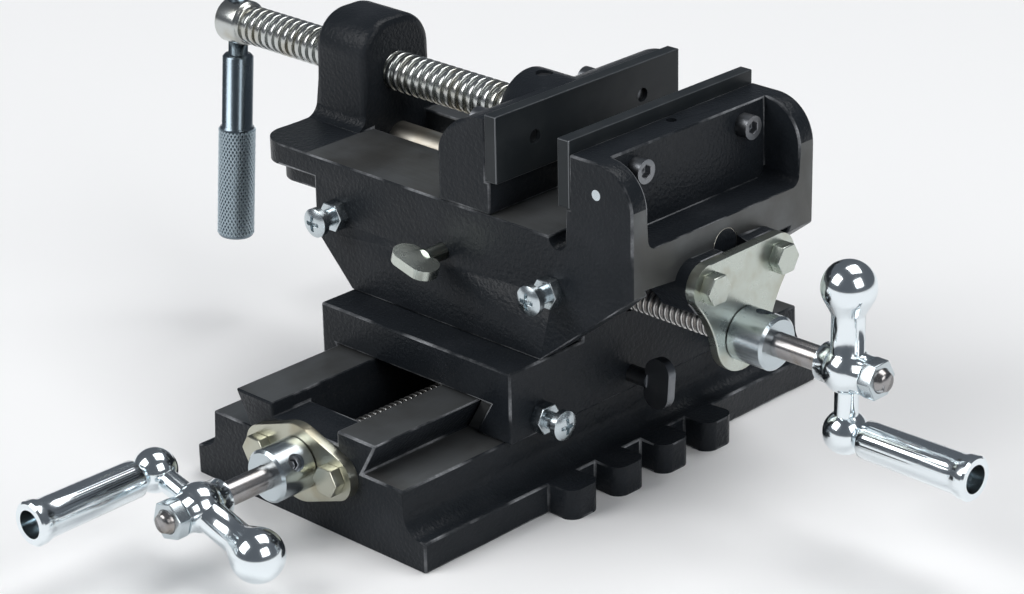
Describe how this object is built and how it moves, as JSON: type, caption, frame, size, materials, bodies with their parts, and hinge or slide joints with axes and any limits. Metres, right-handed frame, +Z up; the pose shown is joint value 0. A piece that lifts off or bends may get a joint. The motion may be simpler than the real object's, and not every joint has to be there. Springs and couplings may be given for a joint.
{
  "type": "cross slide vise",
  "caption": "Drill-press vise on a compound dovetail slide: a crank moves each slide along its screw, and a knurled-handle screw closes the moving jaw on the fixed one.",
  "frame": {"origin": "centre of the underside of the base", "axes": "+X is the way the moving jaw closes, towards the fixed jaw and the cross crank; +Y is the base slide, away from the base crank; +Z is up"},
  "size_m": [0.287, 0.2461, 0.1131],
  "materials": {
    "cast_black": "glossy black paint over cast iron, worn on the edges",
    "machined_iron": "ground",
    "black_steel": "blackened",
    "bright_zinc": "bright zinc plate",
    "yellow_zinc": "yellow passivated zinc plate",
    "screw_steel": "turned",
    "nut_bronze": "cast and bored"
  },
  "bodies": {
    "base": {"base_casting": "cast_black", "base_bracket": "yellow_zinc", "base_bracket_bolts": "yellow_zinc"},
    "base_crank": {"base_lead_screw": "screw_steel", "base_collar": "bright_zinc", "base_collar_screw": "black_steel", "base_crank_arm": "bright_zinc", "base_crank_nut": "bright_zinc", "base_grip_pin": "black_steel"},
    "base_grip": {"base_grip": "bright_zinc"},
    "saddle": {"saddle_casting": "cast_black", "saddle_gib": "machined_iron", "saddle_gib_screws": "bright_zinc", "saddle_gib_nuts": "bright_zinc", "base_lead_nut": "nut_bronze", "cross_lead_nut": "nut_bronze"},
    "saddle_lock": {"saddle_lock_screw": "black_steel"},
    "vise_body": {"vise_body_casting": "cast_black", "fixed_jaw_plate": "black_steel", "fixed_jaw_screws": "black_steel", "cheek_pin": "bright_zinc", "guide_rod": "screw_steel", "body_gib": "machined_iron", "body_gib_screws": "bright_zinc", "body_gib_nuts": "bright_zinc", "cross_bracket": "bright_zinc", "cross_bracket_bolts": "bright_zinc"},
    "body_lock": {"body_lock_screw": "bright_zinc"},
    "cross_crank": {"cross_lead_screw": "screw_steel", "cross_collar": "bright_zinc", "cross_collar_screw": "black_steel", "cross_crank_arm": "bright_zinc", "cross_crank_nut": "bright_zinc", "cross_grip_pin": "black_steel"},
    "cross_grip": {"cross_grip": "bright_zinc"},
    "moving_jaw": {"moving_jaw": "cast_black", "moving_jaw_plate": "black_steel", "moving_jaw_screws": "black_steel", "screw_retainer": "black_steel"},
    "clamp_screw": {"clamp_screw": "screw_steel", "clamp_handle": "bright_zinc"}
  },
  "joints": [
    {"name": "base_crank_turn", "type": "hinge", "parent": "base", "child": "base_crank", "pos_m": [0, -0.0825, 0.0193], "axis": [0, 1, 0], "range_deg": [-5778, 7938]},
    {"name": "base_grip_spin", "type": "hinge", "parent": "base_crank", "child": "base_grip", "pos_m": [-0.0178, -0.121, 0.0244], "axis": [0, 1, 0], "continuous": true},
    {"name": "saddle_slide", "type": "slide", "parent": "base", "child": "saddle", "axis": [0, 1, 0], "range_m": [-0.044, 0.032]},
    {"name": "saddle_lock_turn", "type": "hinge", "parent": "saddle", "child": "saddle_lock", "pos_m": [0.0406, 0.006, 0.027], "axis": [1, 0, 0], "range_deg": [0, 270]},
    {"name": "cross_crank_turn", "type": "hinge", "parent": "vise_body", "child": "cross_crank", "pos_m": [0.0788, 0.006, 0.0518], "axis": [1, 0, 0], "range_deg": [-4338, 8118]},
    {"name": "cross_grip_spin", "type": "hinge", "parent": "cross_crank", "child": "cross_grip", "pos_m": [0.1173, 0.006, 0.0333], "axis": [1, 0, 0], "continuous": true},
    {"name": "body_slide", "type": "slide", "parent": "saddle", "child": "vise_body", "axis": [1, 0, 0], "range_m": [-0.024, 0.045]},
    {"name": "body_lock_turn", "type": "hinge", "parent": "vise_body", "child": "body_lock", "pos_m": [0.0037, -0.0315, 0.066], "axis": [0, -1, 0], "range_deg": [0, 270]},
    {"name": "jaw_slide", "type": "slide", "parent": "vise_body", "child": "moving_jaw", "axis": [1, 0, 0], "range_m": [-0.05, 0.0225]},
    {"name": "clamp_turn", "type": "hinge", "parent": "moving_jaw", "child": "clamp_screw", "pos_m": [0, 0.006, 0.0966], "axis": [1, 0, 0], "range_deg": [-6012, 2712]}
  ],
  "couplings": [
    {"joint": "base_crank_turn", "follows": "saddle_slide", "rad_per_m": -3141.6},
    {"joint": "cross_crank_turn", "follows": "body_slide", "rad_per_m": 3141.6},
    {"joint": "clamp_turn", "follows": "jaw_slide", "rad_per_m": 2094.4}
  ]
}
